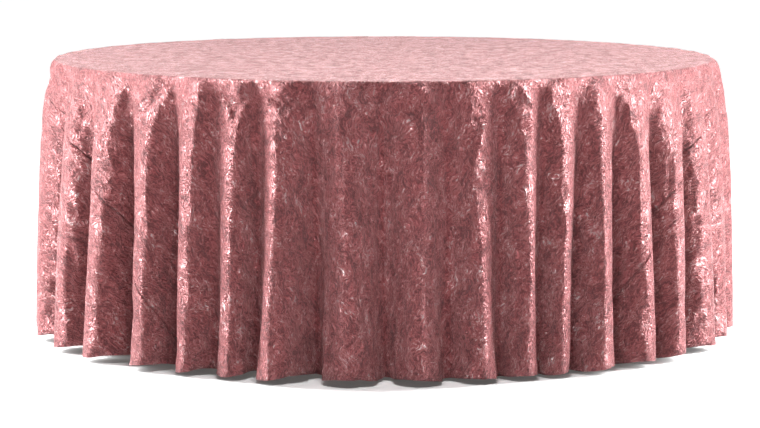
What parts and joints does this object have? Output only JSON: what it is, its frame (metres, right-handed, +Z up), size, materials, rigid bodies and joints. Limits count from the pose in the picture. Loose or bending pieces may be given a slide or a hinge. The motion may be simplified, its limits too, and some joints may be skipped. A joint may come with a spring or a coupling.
{
  "type": "round tablecloth on folding table",
  "caption": "Floor-length round velvet tablecloth, seamed from three panels, draped in folds over a round plywood table with folding steel leg frames.",
  "frame": {"origin": "on the floor, under the middle of the table", "axes": "+Z up, -Y towards the front, X along the line between the two leg frames"},
  "size_m": [1.9321, 1.9266, 0.764],
  "materials": {
    "velvet": "crushed velvet, dusty rose, pile out",
    "plywood": "sanded and sealed",
    "batten_wood": "planed softwood",
    "edge_vinyl": "dark satin vinyl",
    "tube_paint": "textured powder coat, dark grey",
    "zinc_steel": "zinc plated",
    "rivet_steel": "bright zinc",
    "foot_rubber": "matte"
  },
  "bodies": {
    "table": {"table_top": "plywood", "edge_band": "edge_vinyl", "left_batten": "batten_wood", "left_saddles": "zinc_steel", "left_screws": "zinc_steel", "left_stay_bracket": "zinc_steel", "left_bracket_pin": "rivet_steel", "right_batten": "batten_wood", "right_saddles": "zinc_steel", "right_screws": "zinc_steel", "right_stay_bracket": "zinc_steel", "right_bracket_pin": "rivet_steel"},
    "cloth": {"centre_panel": "velvet", "left_side_panel": "velvet", "right_side_panel": "velvet"},
    "left_legs": {"left_pivot_tube": "tube_paint", "left_front_leg": "tube_paint", "left_back_leg": "tube_paint", "left_stay_stretcher": "tube_paint", "left_foot_stretcher": "tube_paint", "left_foot_caps": "foot_rubber", "left_stay_lug": "zinc_steel", "left_lug_rivet": "rivet_steel"},
    "left_upper_link": {"left_upper_stay": "zinc_steel", "left_upper_knee_rivet": "rivet_steel"},
    "left_lower_link": {"left_lower_stay": "zinc_steel", "left_lower_knee_rivet": "rivet_steel"},
    "right_legs": {"right_pivot_tube": "tube_paint", "right_front_leg": "tube_paint", "right_back_leg": "tube_paint", "right_stay_stretcher": "tube_paint", "right_foot_stretcher": "tube_paint", "right_foot_caps": "foot_rubber", "right_stay_lug": "zinc_steel", "right_lug_rivet": "rivet_steel"},
    "right_upper_link": {"right_upper_stay": "zinc_steel", "right_upper_knee_rivet": "rivet_steel"},
    "right_lower_link": {"right_lower_stay": "zinc_steel", "right_lower_knee_rivet": "rivet_steel"}
  },
  "joints": [
    {"name": "cloth_lift", "type": "slide", "parent": "table", "child": "cloth", "axis": [0, 0, 1], "range_m": [0, 0.8]},
    {"name": "left_leg_fold", "type": "hinge", "parent": "table", "child": "left_legs", "pos_m": [-0.715, 0, 0.706], "axis": [0, -1, 0], "range_deg": [0, 92]},
    {"name": "left_upper_stay_turn", "type": "hinge", "parent": "table", "child": "left_upper_link", "pos_m": [-0.365, 0, 0.728], "axis": [0, -1, 0], "range_deg": [-39, 0]},
    {"name": "left_lower_stay_turn", "type": "hinge", "parent": "left_legs", "child": "left_lower_link", "pos_m": [-0.70174, 0, 0.45538], "axis": [0, -1, 0], "range_deg": [0, 49.01]},
    {"name": "right_leg_fold", "type": "hinge", "parent": "table", "child": "right_legs", "pos_m": [0.715, 0, 0.706], "axis": [0, 1, 0], "range_deg": [0, 92]},
    {"name": "right_upper_stay_turn", "type": "hinge", "parent": "table", "child": "right_upper_link", "pos_m": [0.365, 0, 0.728], "axis": [0, 1, 0], "range_deg": [-39, 0]},
    {"name": "right_lower_stay_turn", "type": "hinge", "parent": "right_legs", "child": "right_lower_link", "pos_m": [0.70174, 0, 0.45538], "axis": [0, 1, 0], "range_deg": [0, 49.01]}
  ],
  "couplings": [
    {"joint": "left_upper_stay_turn", "follows": "left_leg_fold", "ratio": -0.42384},
    {"joint": "left_lower_stay_turn", "follows": "left_leg_fold", "ratio": 0.53269},
    {"joint": "right_upper_stay_turn", "follows": "right_leg_fold", "ratio": -0.42384},
    {"joint": "right_lower_stay_turn", "follows": "right_leg_fold", "ratio": 0.53269}
  ]
}
